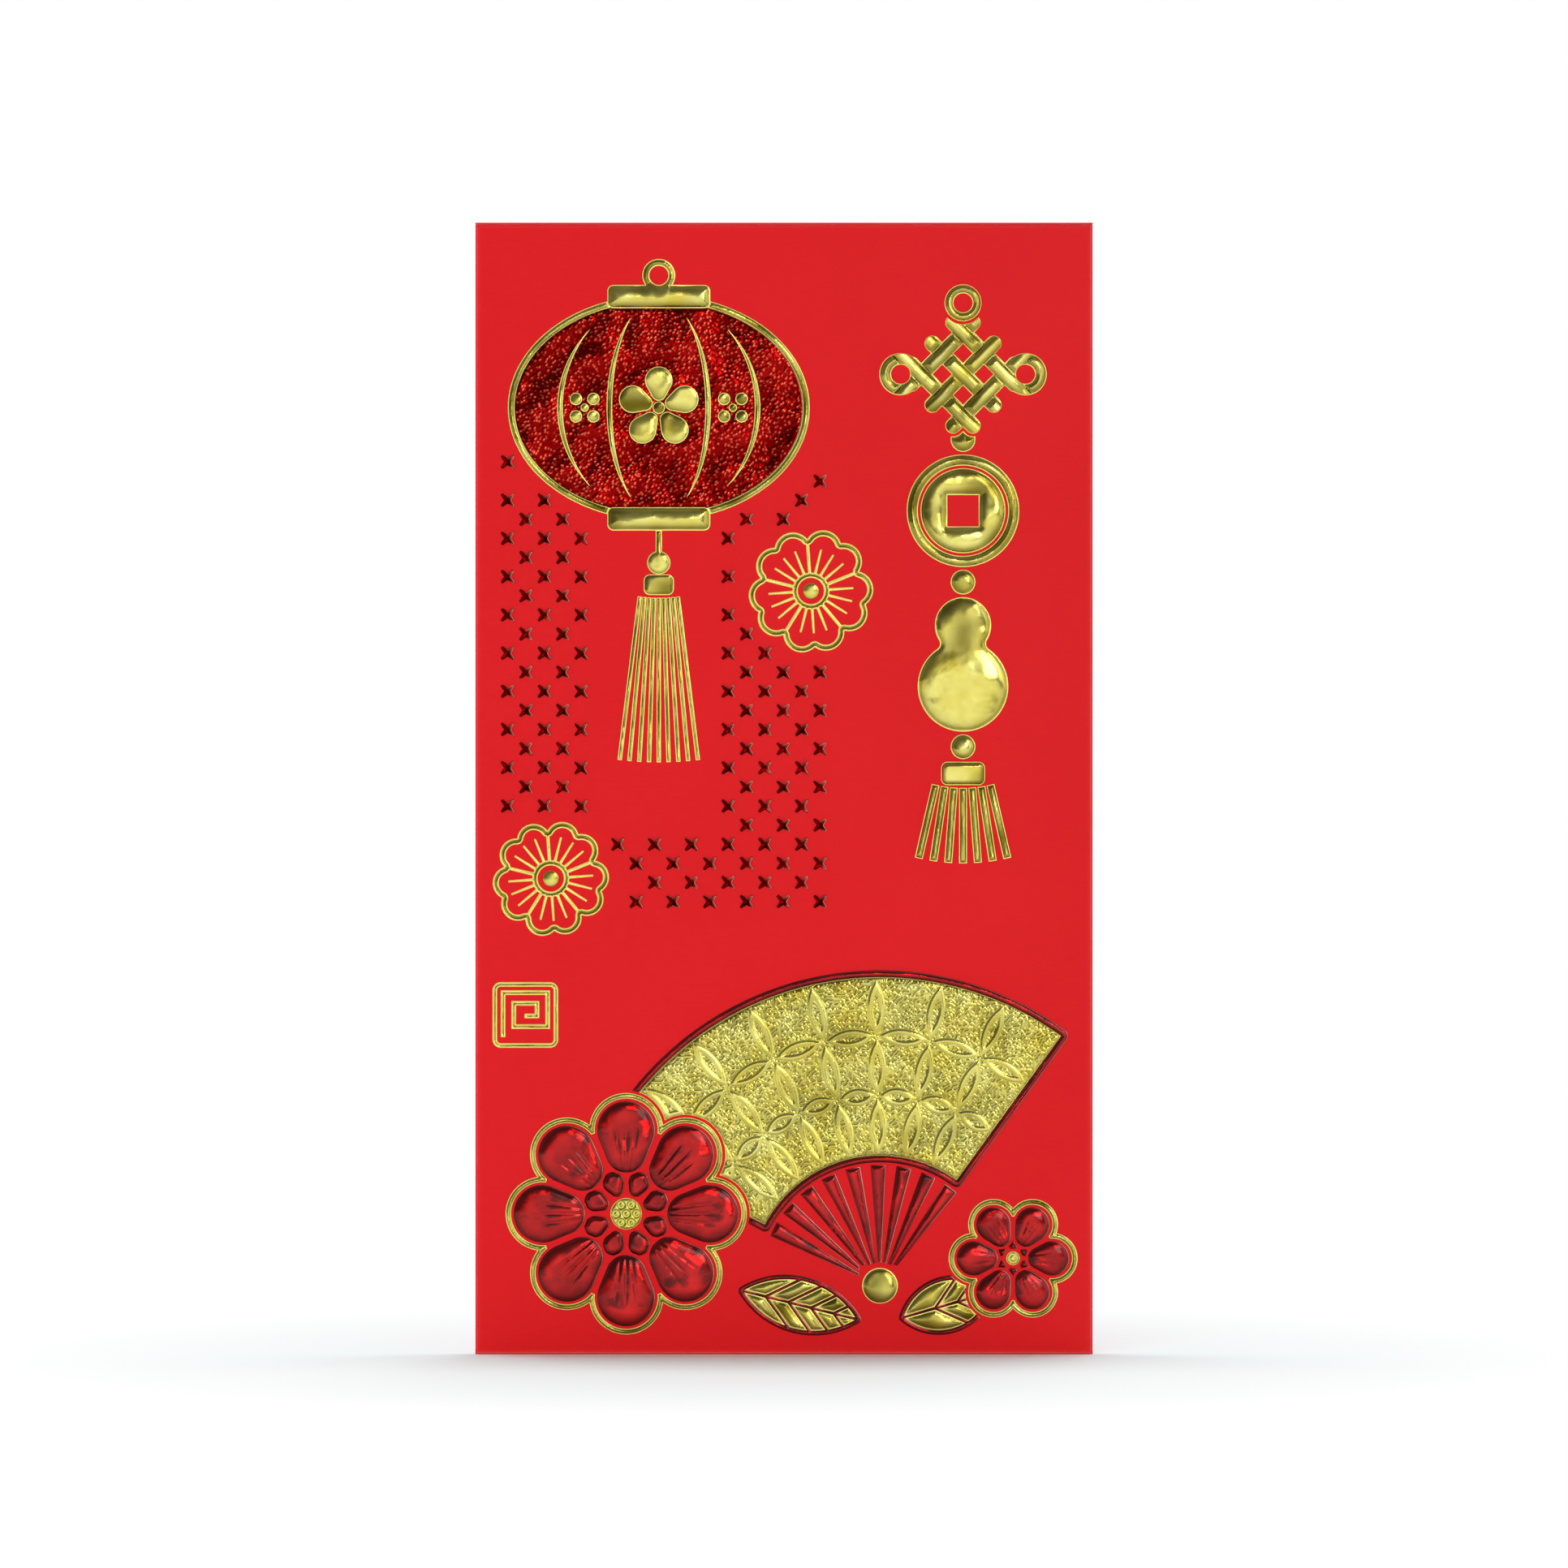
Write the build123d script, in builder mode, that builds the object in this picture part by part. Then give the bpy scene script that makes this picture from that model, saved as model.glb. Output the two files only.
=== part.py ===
import os
from math import acos, degrees, radians, sin, sqrt

from build123d import *

# A red paper gift packet standing on its base, front towards -Y, in millimetres.
# The paper is one folded and glued sheet, made here panel by panel between its creases.
# The foil is stamped on the front as raised pieces, each on its own.

# Sheet
packet_width = 90.0
packet_height = 165.0
paper = 0.3
pocket_gap = 1.0
glue_film = 0.05
edge_round = 0.22

# Closure
flap_length = 26.0
flap_taper = 9.0
flap_corner = 7.0
flap_clearance = 0.25
crease_gap = 0.05
mouth_drop = 1.5
gum_film = 0.08
gum_width = 48.0
gum_height = 9.0
gum_from_tip = 3.5

# Back seams
back_setback = 0.8
seam_tab_width = 13.0
seam_tab_setback = 0.4
seam_glue_width = 8.0
bottom_flap_height = 17.0
bottom_flap_taper = 8.0
bottom_flap_corner = 4.0
bottom_glue_width = 56.0
bottom_glue_height = 8.0

# Relief of the stamped foil
line_relief = 0.25
field_relief = 0.35
overlay_relief = 0.2
puff_relief = 0.6
outline_width = 1.0
foil_gap = 0.4
foil_margin = 1.5

# Lantern, with its share of the free width beside it and the charm
lantern_share = 0.22
lantern_from_top = 27.0
lantern_half_width = 21.0
lantern_half_height = 15.5
rib_pitch = 7.2
rib_count = 2
rib_width = 0.8
cap_width = 15.0
cap_height = 3.4
cap_overlap = 1.0
cap_corner = 0.9
loop_radius = 2.4
loop_width = 1.0
rosette_petals = 5
rosette_radius = 4.0
rosette_tip = 2.0
rosette_root = 1.1
rosette_length = 1.9
rosette_eye = 0.9
floret_petals = 4
floret_radius = 1.8
floret_tip = 0.9
floret_eye = 0.6
tassel_cord_width = 0.9
tassel_cord_length = 3.0
tassel_bead = 1.7
tassel_head_width = 4.4
tassel_head_height = 3.0
fringe_length = 24.0
fringe_width = 0.62
fringe_count = 9
fringe_angle = 14.0

# Hanging charm
charm_share = 0.31
charm_from_top = 9.0
charm_loop_radius = 2.7
charm_loop_width = 1.3
charm_bead = 1.8
knot_strand_count = 3
knot_strand_width = 2.3
knot_pitch = 4.3
knot_strand_length = 15.0
knot_ring = 3.1
knot_ring_width = 1.7
coin_radius = 8.2
coin_rim = 1.6
coin_hole = 4.6
gourd_top_radius = 4.1
gourd_base_radius = 6.6
gourd_overlap = 1.8
gourd_waist = 1.0
charm_head_width = 6.4
charm_head_height = 3.4
charm_fringe_length = 11.0
charm_fringe_width = 1.15
charm_fringe_count = 7
charm_fringe_angle = 26.0

# Line blossoms
blossom_petals = 5
blossom_valley = 1.5
blossom_notch = 0.85
blossom_line = 0.92
blossom_ring = 2.7
blossom_ring_line = 0.8
blossom_eye = 1.18
blossom_divider = 0.5
stamen_root = 0.46
stamen_tip = 0.32
stamen_reach = 6.2
stamens_per_petal = 3
blossom_angle = 94.0
upper_blossom_radius = 9.1
upper_blossom_from_top = 53.7
lower_blossom_radius = 8.5
lower_blossom_from_left = 11.0
lower_blossom_share = 0.375

# Grid of small crosses
cross_radius = 1.24
cross_waist = 0.5
cross_tip = 0.34
cross_from_left = 4.7
cross_from_top = 34.9
cross_column_pitch = 5.36
cross_row_pitch = 2.787
cross_columns = 9
cross_rows = 24
cross_margin = 0.3
window_from_left = 17.7
window_width = 16.8
window_from_top = 47.9
window_height = 41.2

# Folding fan
fan_from_right = 31.0
fan_from_bottom = 10.0
fan_inner_radius = 19.0
fan_outer_radius = 45.0
fan_from_edge = 4.0
fan_end_angle = 152.0
fan_sticks_count = 9
stick_start = 3.4
stick_foot = 0.5
stick_head = 2.2
rivet_radius = 2.6
coin_rows = 3
coin_columns = 8
coin_leaf_width = 2.7
coin_leaf_gap = 0.5

# Flowers
peony_from_left = 22.0
peony_from_bottom = 20.5
peony_petals = 8
peony_outer_radius = 12.2
peony_outer_tip = 4.2
peony_outer_root = 3.0
peony_outer_length = 3.2
peony_inner_radius = 4.9
peony_inner_tip = 1.55
peony_inner_root = 0.95
peony_inner_length = 1.2
peony_eye = 2.3
bud_from_right = 11.6
bud_from_bottom = 14.0
bud_petals = 6
bud_outer_radius = 5.7
bud_outer_tip = 2.5
bud_outer_root = 1.6
bud_outer_length = 1.9
bud_inner_radius = 2.3
bud_inner_tip = 0.85
bud_inner_root = 0.6
bud_inner_length = 0.4
bud_eye = 1.0
stamen_dots = 6
stamen_dot = 0.4
flower_line = 0.8

# Leaves
leaf_width = 7.0
leaf_from_bottom = 7.2
leaf_from_rivet = 3.2
long_leaf_length = 17.0
long_leaf_angle = -14.0
short_leaf_length = 13.0
short_leaf_angle = 16.0
vein_width = 0.4
vein_pitch = 3.4
vein_angle = 40.0
leaf_line = 0.7

# Square seal
seal_side = 9.6
seal_line = 0.7
seal_corner = 1.2
seal_pitch = 1.55

# Places worked out from the sizes above
relief = max(puff_relief, field_relief + overlay_relief)
paper_depth = 4 * paper  # front panel, seam tab, back panel and closure flap
overall_depth = relief + paper_depth + pocket_gap + glue_film + flap_clearance
front_y = relief - overall_depth / 2
tab_y = front_y + paper + pocket_gap
back_y = tab_y + 2 * paper + glue_film
bottom_flap_y = back_y + glue_film
flap_y = back_y + flap_clearance
half_width = packet_width / 2
inner_half = half_width - paper
crease_z = packet_height - paper / 2
front_crease_y = front_y + paper / 2
back_crease_y = flap_y + paper / 2
spine_height = packet_height - paper - crease_gap
mouth_z = packet_height - paper - mouth_drop
tab_height = mouth_z - paper - 2 * seam_tab_setback
tab_middle_z = (mouth_z + paper) / 2

face_plane = Plane.XZ.offset(-front_y)
field_plane = face_plane.offset(field_relief)

knot_half = (knot_strand_count - 1) / 2 * knot_pitch + knot_strand_width / 2
knot_reach = sqrt(2) * knot_half
knot_ring_x = knot_reach + knot_ring - knot_ring_width
charm_half_width = knot_ring_x + knot_ring
lantern_reach = lantern_half_width + outline_width
free_width = packet_width - 2 * lantern_reach - 2 * charm_half_width
lantern_at = Vector(
    lantern_share * free_width + lantern_reach - half_width, packet_height - lantern_from_top
)
cap_offset = lantern_half_height + cap_height / 2 - cap_overlap
cap_reach = cap_offset + cap_height / 2
floret_x = (rib_count - 0.5) * rib_pitch  # midway between the last two ribs
charm_x = half_width - charm_share * free_width - charm_half_width
charm_top = packet_height - charm_from_top

peony_at = Vector(peony_from_left - half_width, peony_from_bottom)
peony_top = peony_from_bottom + peony_outer_radius + peony_outer_tip + foil_gap + flower_line
bud_at = Vector(half_width - bud_from_right, bud_from_bottom)
fan_at = Vector(half_width - fan_from_right, fan_from_bottom)
fan_start_angle = degrees(acos((fan_from_right - fan_from_edge) / (fan_outer_radius + outline_width)))
fan_sweep = fan_end_angle - fan_start_angle
long_leaf_at = Vector(fan_at.X - leaf_from_rivet - long_leaf_length / 2, leaf_from_bottom)
short_leaf_at = Vector(fan_at.X + leaf_from_rivet + short_leaf_length / 2, leaf_from_bottom)

upper_blossom_at = Vector((lantern_at.X + charm_x) / 2, packet_height - upper_blossom_from_top)
lantern_bottom = lantern_at.Y - lantern_half_height - outline_width
lower_blossom_at = Vector(
    lower_blossom_from_left - half_width,
    peony_top + lower_blossom_share * (lantern_bottom - peony_top),
)
seal_at = Vector(
    lower_blossom_at.X - lower_blossom_radius + seal_side / 2,
    (peony_top + lower_blossom_at.Y - lower_blossom_radius) / 2,
)

os.makedirs("parts", exist_ok=True)


def finish(piece, name):
    piece.label = name
    export_step(piece, f"parts/{name}.step")


def polar(radius, angle):
    return Vector(radius, 0).rotate(Axis.Z, angle)


# Flat profiles that more than one piece uses, each drawn about its own centre


def grown(shape, amount):
    with BuildSketch() as profile:
        add(shape)
        offset(amount=amount)
    return profile.sketch


def band(shape, inner, outer):
    with BuildSketch() as profile:
        add(grown(shape, outer))
        add(grown(shape, inner) if inner else shape, mode=Mode.SUBTRACT)
    return profile.sketch


def ring(radius, width):
    with BuildSketch() as profile:
        Circle(radius)
        Circle(radius - width, mode=Mode.SUBTRACT)
    return profile.sketch


def petals(count, reach, tip, root, length, turn=0.0):
    # each petal wraps a round tip at its reach and a smaller round root
    with BuildSketch() as petal:
        with Locations((reach, 0)):
            Circle(tip)
        with Locations((reach - length, 0)):
            Circle(root)
        make_hull()
    with BuildSketch() as profile:
        with PolarLocations(0, count, start_angle=turn):
            add(petal.sketch)
    return profile.sketch


def joined(*areas):
    with BuildSketch() as profile:
        for area in areas:
            add(area)
    return profile.sketch


def room(*pieces):
    # an upright rectangle round each finished piece, with a gap
    with BuildSketch() as profile:
        for piece in pieces:
            box = piece.bounding_box()
            with Locations((box.center().X, box.center().Z)):
                Rectangle(box.size.X + 2 * foil_gap, box.size.Z + 2 * foil_gap)
    return profile.sketch


def leaf_shape(length, width):
    with BuildSketch() as profile:
        with BuildLine():
            ThreePointArc((-length / 2, 0), (0, width / 2), (length / 2, 0))
            ThreePointArc((length / 2, 0), (0, -width / 2), (-length / 2, 0))
        make_face()
    return profile.sketch


def fringe(count, length, width, spread):
    # strands that fan out from the head of a tassel, drawn downwards from the origin
    top = count * width / radians(spread)
    with BuildSketch() as profile:
        with Locations((0, top)):
            with PolarLocations(top + length / 2, count, -90 - spread / 2, spread, endpoint=True):
                Rectangle(length, width)
    return profile.sketch


# Paper sheet, panel by panel

with BuildPart() as front_panel:
    with BuildSketch(face_plane):
        with Locations((0, paper)):
            Rectangle(2 * inner_half, spine_height - paper, align=(Align.CENTER, Align.MIN))
    extrude(amount=-paper)
finish(front_panel.part, "front_panel")

with BuildPart() as left_spine:
    with Locations((-half_width, front_y, 0)):
        Box(paper, back_y - front_y, spine_height, align=Align.MIN)
    fillet(left_spine.edges().filter_by(Axis.Z).group_by(Axis.X)[0], edge_round)
finish(left_spine.part, "left_spine")

with BuildPart() as right_spine:
    with Locations((inner_half, front_y, 0)):
        Box(paper, tab_y + paper - front_y, spine_height, align=Align.MIN)
    fillet(right_spine.edges().filter_by(Axis.Z).group_by(Axis.X)[-1], edge_round)
finish(right_spine.part, "right_spine")

with BuildPart() as base_spine:
    with Locations((-inner_half, front_y, 0)):
        Box(2 * inner_half, bottom_flap_y + paper - front_y, paper, align=Align.MIN)
    fillet(base_spine.edges().filter_by(Axis.X).group_by(Axis.Z)[0], edge_round)
finish(base_spine.part, "base_spine")

with BuildPart() as back_panel:
    with Locations((-inner_half, back_y - paper, paper)):
        Box(inner_half + half_width - back_setback, paper, mouth_z - paper, align=Align.MIN)
finish(back_panel.part, "back_panel")

with BuildPart() as seam_tab:
    with Locations((inner_half, tab_y, tab_middle_z)):
        Box(seam_tab_width, paper, tab_height, align=(Align.MAX, Align.MIN, Align.CENTER))
finish(seam_tab.part, "seam_tab")

with BuildPart() as seam_glue:
    with Locations((inner_half - seam_tab_width / 2, tab_y + paper, tab_middle_z)):
        Box(seam_glue_width, glue_film, tab_height, align=(Align.CENTER, Align.MIN, Align.CENTER))
finish(seam_glue.part, "seam_glue")


def tapered_flap(width, height, taper, corner):
    # a flap that hangs down from its crease, which lies along the sketch's X axis
    with BuildSketch() as profile:
        with BuildLine():
            Polyline(
                (-width / 2, 0),
                (width / 2, 0),
                (width / 2 - taper, -height),
                (taper - width / 2, -height),
                close=True,
            )
        make_face()
        fillet(profile.vertices().group_by(Axis.Y)[0], corner)
    return profile.sketch


with BuildPart() as bottom_flap:
    with BuildSketch(Plane.XZ.offset(-bottom_flap_y)):
        with Locations(Location((0, paper, 0), 180)):
            add(
                tapered_flap(
                    2 * inner_half, bottom_flap_height, bottom_flap_taper, bottom_flap_corner
                )
            )
    extrude(amount=-paper)
finish(bottom_flap.part, "bottom_flap")

with BuildPart() as bottom_flap_glue:
    with Locations((0, back_y, paper + bottom_flap_height / 2)):
        Box(
            bottom_glue_width,
            glue_film,
            bottom_glue_height,
            align=(Align.CENTER, Align.MIN, Align.CENTER),
        )
finish(bottom_flap_glue.part, "bottom_flap_glue")

# Top fold and closure flap, each with a round bead of paper along its crease

with BuildPart() as top_spine:
    with Locations((0, front_crease_y, packet_height - paper)):
        Box(
            packet_width,
            back_crease_y - front_crease_y - paper / 2 - crease_gap,
            paper,
            align=(Align.CENTER, Align.MIN, Align.MIN),
        )
    with Locations(Location((0, front_crease_y, crease_z), (0, 90, 0))):
        Cylinder(paper / 2, packet_width)
finish(top_spine.part, "top_spine")

with BuildPart() as closure_flap:
    with BuildSketch(Plane.XZ.offset(-flap_y)):
        with Locations((0, crease_z)):
            add(tapered_flap(packet_width, flap_length, flap_taper, flap_corner))
    extrude(amount=-paper)
    with Locations(Location((0, back_crease_y, crease_z), (0, 90, 0))):
        Cylinder(paper / 2, packet_width)
finish(closure_flap.part, "closure_flap")

with BuildPart() as flap_gum:
    with Locations((0, flap_y, crease_z - flap_length + gum_from_tip)):
        Box(gum_width, gum_film, gum_height, align=(Align.CENTER, Align.MAX, Align.MIN))
finish(flap_gum.part, "flap_gum")

# Motifs are stamped from front to back: each is trimmed to what is stamped before it,
# with a gap between them, and to the margin of the panel

with BuildSketch() as off_panel:
    with Locations((0, packet_height / 2)):
        Rectangle(2 * packet_width, 2 * packet_height)
        Rectangle(
            packet_width - 2 * foil_margin,
            packet_height - 2 * foil_margin,
            mode=Mode.SUBTRACT,
        )
stamped = off_panel.sketch


# Flowers


def make_flower(stamped, name, place, count, outer, inner, eye):
    outer_petals = petals(count, *outer)
    with BuildSketch() as rim:
        add(outer_petals)
        Circle(outer[0])
    with BuildPart() as outer_ring:
        with BuildSketch(face_plane):
            with Locations(place):
                add(outer_petals)
            add(stamped, mode=Mode.SUBTRACT)
        extrude(amount=puff_relief)
    finish(outer_ring.part, f"{name}_outer_petals")

    with BuildPart() as inner_ring:
        with BuildSketch(face_plane):
            with Locations(place):
                add(petals(count, *inner, 180 / count))
                add(grown(outer_petals, foil_gap), mode=Mode.SUBTRACT)
                Circle(eye + foil_gap, mode=Mode.SUBTRACT)
            add(stamped, mode=Mode.SUBTRACT)
        extrude(amount=puff_relief)
    finish(inner_ring.part, f"{name}_inner_petals")

    with BuildPart() as edge:
        with BuildSketch(face_plane):
            with Locations(place):
                add(band(rim.sketch, foil_gap, foil_gap + flower_line))
            add(stamped, mode=Mode.SUBTRACT)
        extrude(amount=field_relief)
    finish(edge.part, f"{name}_edge")

    with BuildPart() as centre:
        with BuildSketch(face_plane):
            with Locations(place):
                Circle(eye)
            add(stamped, mode=Mode.SUBTRACT)
        extrude(amount=field_relief)
        with BuildSketch(field_plane):
            with Locations(place):
                Circle(stamen_dot)
                with PolarLocations(eye - 2 * stamen_dot, stamen_dots):
                    Circle(stamen_dot)
            add(stamped, mode=Mode.SUBTRACT)
        extrude(amount=overlay_relief)
    finish(centre.part, f"{name}_centre")
    outline = Pos(place.X, place.Y) * grown(rim.sketch, 2 * foil_gap + flower_line)
    return joined(stamped, outline)


stamped = make_flower(
    stamped,
    "peony",
    peony_at,
    peony_petals,
    (peony_outer_radius, peony_outer_tip, peony_outer_root, peony_outer_length),
    (peony_inner_radius, peony_inner_tip, peony_inner_root, peony_inner_length),
    peony_eye,
)
stamped = make_flower(
    stamped,
    "bud",
    bud_at,
    bud_petals,
    (bud_outer_radius, bud_outer_tip, bud_outer_root, bud_outer_length),
    (bud_inner_radius, bud_inner_tip, bud_inner_root, bud_inner_length),
    bud_eye,
)

# Hanging charm: loop, knot, coin, gourd and tassel, threaded on beads

loop_z = charm_top - charm_loop_radius
knot_z = loop_z - charm_loop_radius - knot_reach
first_bead_z = knot_z - knot_reach - charm_bead
coin_z = first_bead_z - charm_bead - foil_gap - coin_radius
second_bead_z = coin_z - coin_radius - foil_gap - charm_bead
gourd_top_z = second_bead_z - charm_bead - foil_gap - gourd_top_radius
gourd_base_z = gourd_top_z - gourd_top_radius - gourd_base_radius + gourd_overlap
third_bead_z = gourd_base_z - gourd_base_radius - foil_gap - charm_bead
charm_head_z = third_bead_z - charm_bead - foil_gap - charm_head_height / 2

with BuildPart() as charm_loop:
    with BuildSketch(face_plane):
        with Locations((charm_x, loop_z)):
            add(ring(charm_loop_radius, charm_loop_width))
        add(stamped, mode=Mode.SUBTRACT)
    extrude(amount=puff_relief)
finish(charm_loop.part, "charm_loop")

with BuildSketch() as knot_shape:
    for turn in (45, -45):
        with Locations(Location((0, 0, 0), turn)):
            with GridLocations(0, knot_pitch, 1, knot_strand_count):
                SlotOverall(knot_strand_length, knot_strand_width)
    with Locations((-knot_ring_x, 0), (knot_ring_x, 0)):
        Circle(knot_ring)
        Circle(knot_ring - knot_ring_width, mode=Mode.SUBTRACT)

with BuildPart() as charm_knot:
    with BuildSketch(face_plane):
        with Locations((charm_x, knot_z)):
            add(knot_shape.sketch)
        with Locations((charm_x, loop_z)):
            Circle(charm_loop_radius + foil_gap, mode=Mode.SUBTRACT)
        add(stamped, mode=Mode.SUBTRACT)
    extrude(amount=puff_relief)
finish(charm_knot.part, "charm_knot")

with BuildPart() as charm_coin:
    with BuildSketch(face_plane):
        with Locations((charm_x, coin_z)):
            add(ring(coin_radius, coin_rim))
            Circle(coin_radius - coin_rim - foil_gap)
            Rectangle(coin_hole, coin_hole, mode=Mode.SUBTRACT)
        add(stamped, mode=Mode.SUBTRACT)
    extrude(amount=puff_relief)
finish(charm_coin.part, "charm_coin")

with BuildPart() as charm_gourd:
    with BuildSketch(face_plane) as gourd_shape:
        with Locations((charm_x, gourd_top_z)):
            Circle(gourd_top_radius)
        with Locations((charm_x, gourd_base_z)):
            Circle(gourd_base_radius)
        fillet(gourd_shape.vertices().group_by(Axis.Y)[0], gourd_waist)
        add(stamped, mode=Mode.SUBTRACT)
    extrude(amount=puff_relief)
finish(charm_gourd.part, "charm_gourd")

with BuildPart() as charm_beads:
    with BuildSketch(face_plane):
        with Locations(*[(charm_x, z) for z in (first_bead_z, second_bead_z, third_bead_z)]):
            Circle(charm_bead)
        with Locations((charm_x, knot_z)):
            add(grown(knot_shape.sketch, foil_gap), mode=Mode.SUBTRACT)
        add(stamped, mode=Mode.SUBTRACT)
    extrude(amount=puff_relief)
finish(charm_beads.part, "charm_beads")

with BuildPart() as charm_tassel:
    with BuildSketch(face_plane):
        with Locations((charm_x, charm_head_z)):
            RectangleRounded(charm_head_width, charm_head_height, cap_corner)
        with Locations((charm_x, charm_head_z - charm_head_height / 2 - foil_gap)):
            add(
                fringe(
                    charm_fringe_count,
                    charm_fringe_length,
                    charm_fringe_width,
                    charm_fringe_angle,
                )
            )
        add(stamped, mode=Mode.SUBTRACT)
    extrude(amount=puff_relief)
finish(charm_tassel.part, "charm_tassel")

charm_pieces = (charm_loop, charm_knot, charm_coin, charm_gourd, charm_beads, charm_tassel)
stamped = joined(stamped, room(*[piece.part for piece in charm_pieces]))

# Folding fan behind the flowers

with BuildPart() as fan_rivet:
    with BuildSketch(face_plane):
        with Locations(fan_at):
            Circle(rivet_radius)
        add(stamped, mode=Mode.SUBTRACT)
    extrude(amount=puff_relief)
finish(fan_rivet.part, "fan_rivet")
stamped = joined(stamped, room(fan_rivet.part))

with BuildSketch() as fan_shape:
    with BuildLine():
        outer_arc = CenterArc((0, 0), fan_outer_radius, fan_start_angle, fan_sweep)
        inner_arc = CenterArc((0, 0), fan_inner_radius, fan_start_angle, fan_sweep)
        Line(outer_arc @ 0, inner_arc @ 0)
        Line(outer_arc @ 1, inner_arc @ 1)
    make_face()

with BuildPart() as fan_leaf:
    with BuildSketch(face_plane):
        with Locations(fan_at):
            add(fan_shape.sketch)
        add(stamped, mode=Mode.SUBTRACT)
    extrude(amount=field_relief)
finish(fan_leaf.part, "fan_leaf")

with BuildPart() as fan_outline:
    with BuildSketch(face_plane):
        with Locations(fan_at):
            add(band(fan_shape.sketch, 0, outline_width))
        add(stamped, mode=Mode.SUBTRACT)
    extrude(amount=field_relief)
finish(fan_outline.part, "fan_outline")

stick_end = fan_inner_radius - outline_width - foil_gap
with BuildPart() as fan_sticks:
    with BuildSketch(face_plane):
        with Locations(fan_at):
            with PolarLocations(0, fan_sticks_count, fan_start_angle, fan_sweep, endpoint=True):
                Polygon(
                    (stick_start, -stick_foot / 2),
                    (stick_end, -stick_head / 2),
                    (stick_end, stick_head / 2),
                    (stick_start, stick_foot / 2),
                    align=None,
                )
        add(stamped, mode=Mode.SUBTRACT)
    extrude(amount=field_relief)
finish(fan_sticks.part, "fan_sticks")

row_pitch = (fan_outer_radius - fan_inner_radius) / coin_rows
column_turn = fan_sweep / coin_columns
with BuildPart() as fan_lattice:
    with BuildSketch(field_plane):
        with Locations(fan_at):
            for row in range(coin_rows):
                middle = fan_inner_radius + (row + 0.5) * row_pitch
                with PolarLocations(
                    middle,
                    coin_columns - 1,
                    fan_start_angle + column_turn,
                    fan_sweep - 2 * column_turn,
                    endpoint=True,
                ):
                    add(leaf_shape(row_pitch - coin_leaf_gap, coin_leaf_width))
            for row in range(1, coin_rows):
                radius = fan_inner_radius + row * row_pitch
                length = 2 * radius * sin(radians(column_turn / 2))
                with PolarLocations(
                    radius,
                    coin_columns,
                    fan_start_angle + column_turn / 2,
                    fan_sweep - column_turn,
                    endpoint=True,
                ):
                    add(Rot(Z=90) * leaf_shape(length - coin_leaf_gap, coin_leaf_width))
        add(stamped, mode=Mode.SUBTRACT)
    extrude(amount=overlay_relief)
finish(fan_lattice.part, "fan_lattice")

with BuildSketch() as fan_room:
    with Locations(fan_at):
        add(grown(fan_shape.sketch, outline_width + foil_gap))
stamped = joined(stamped, fan_room.sketch)


# Leaves below the fan


def leaf_veins(length):
    with BuildSketch() as profile:
        Rectangle(length, vein_width)
        with GridLocations(vein_pitch, 0, int(length / vein_pitch) - 1, 1):
            for turn in (vein_angle, -vein_angle):
                Rectangle(leaf_width, vein_width, rotation=turn, align=(Align.MIN, Align.CENTER))
        add(leaf_shape(length, leaf_width), mode=Mode.INTERSECT)
    return profile.sketch


leaves = [
    (long_leaf_at, long_leaf_length, long_leaf_angle),
    (short_leaf_at, short_leaf_length, short_leaf_angle),
]

with BuildSketch() as leaf_ink:
    for place, length, turn in leaves:
        with Locations(Location((place.X, place.Y, 0), turn)):
            add(leaf_veins(length))
            add(band(leaf_shape(length, leaf_width), 0, leaf_line))

with BuildPart() as leaf_lines:
    with BuildSketch(face_plane):
        add(leaf_ink.sketch)
        add(stamped, mode=Mode.SUBTRACT)
    extrude(amount=line_relief)
finish(leaf_lines.part, "leaf_lines")

with BuildPart() as leaf_blades:
    with BuildSketch(face_plane):
        for place, length, turn in leaves:
            with Locations(Location((place.X, place.Y, 0), turn)):
                add(leaf_shape(length, leaf_width))
        add(leaf_ink.sketch, mode=Mode.SUBTRACT)
        add(stamped, mode=Mode.SUBTRACT)
    extrude(amount=field_relief)
finish(leaf_blades.part, "leaf_blades")

for place, length, turn in leaves:
    outline = grown(leaf_shape(length, leaf_width), leaf_line + foil_gap)
    stamped = joined(stamped, Location((place.X, place.Y, 0), turn) * outline)

# Lantern with its tassel

with BuildSketch() as lantern_body:
    Ellipse(lantern_half_width, lantern_half_height)

with BuildSketch() as lantern_cap_pair:
    with Locations((0, cap_offset), (0, -cap_offset)):
        RectangleRounded(cap_width, cap_height, cap_corner)

with BuildPart() as lantern_field:
    with BuildSketch(face_plane):
        with Locations(lantern_at):
            add(lantern_body.sketch)
            add(lantern_cap_pair.sketch, mode=Mode.SUBTRACT)
        add(stamped, mode=Mode.SUBTRACT)
    extrude(amount=field_relief)
finish(lantern_field.part, "lantern_field")

with BuildPart() as lantern_outline:
    with BuildSketch(face_plane):
        with Locations(lantern_at):
            Ellipse(lantern_half_width + outline_width, lantern_half_height + outline_width)
            add(lantern_body.sketch, mode=Mode.SUBTRACT)
            add(lantern_cap_pair.sketch, mode=Mode.SUBTRACT)
        add(stamped, mode=Mode.SUBTRACT)
    extrude(amount=field_relief)
finish(lantern_outline.part, "lantern_outline")

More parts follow.
